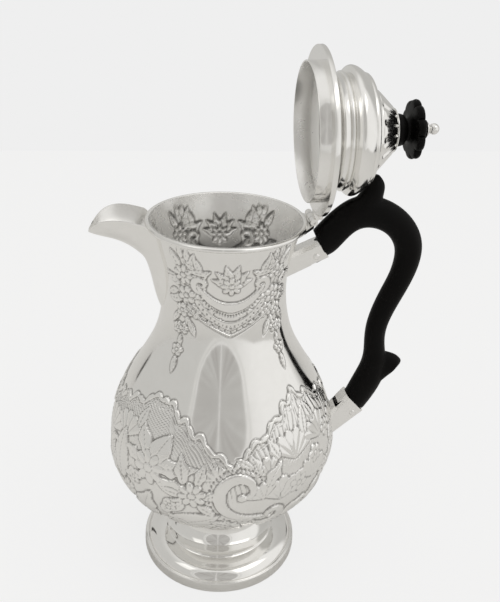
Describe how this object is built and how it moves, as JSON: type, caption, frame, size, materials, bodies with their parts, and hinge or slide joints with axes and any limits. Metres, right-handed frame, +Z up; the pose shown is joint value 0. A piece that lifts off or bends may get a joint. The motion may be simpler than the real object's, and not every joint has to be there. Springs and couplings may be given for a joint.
{
  "type": "lidded silver water jug",
  "caption": "Baluster silver water jug on a domed foot, with a beak spout, a hinged domed lid and an ebony scroll handle; chased flowers and scrolls on neck and belly.",
  "frame": {"origin": "centre of the foot's resting plane, on the jug's axis", "axes": "+Z up along the jug's axis, +X towards the handle, -X towards the spout; the lid hinge's axis runs along Y"},
  "size_m": [0.177, 0.1294, 0.3036],
  "materials": {
    "silver": "polished silver",
    "ebony": "oiled ebony, satin",
    "brass": "plain brass"
  },
  "bodies": {
    "jug": {"body": "silver", "rim_wire": "silver", "spout": "silver", "foot": "silver", "foot_base_ring": "silver", "foot_collet": "silver", "upper_handle_socket": "silver", "lower_handle_socket": "silver", "upper_socket_pin": "silver", "lower_socket_pin": "silver", "body_hinge_leaf": "silver", "hinge_pin": "silver", "handle": "ebony"},
    "lid": {"lid_hinge_leaf": "silver", "lid_flange": "silver", "lid_bezel": "silver", "lid_wire": "silver", "lid_dome": "silver", "finial_base": "ebony", "finial_knob": "ebony", "finial_bolt": "silver", "finial_collar": "silver", "finial_washer": "brass", "finial_nut": "brass"}
  },
  "joints": [
    {"name": "lid_hinge", "type": "hinge", "parent": "jug", "child": "lid", "pos_m": [0.0446, 0, 0.2175], "axis": [0, 1, 0], "range_deg": [-88, 0]}
  ]
}
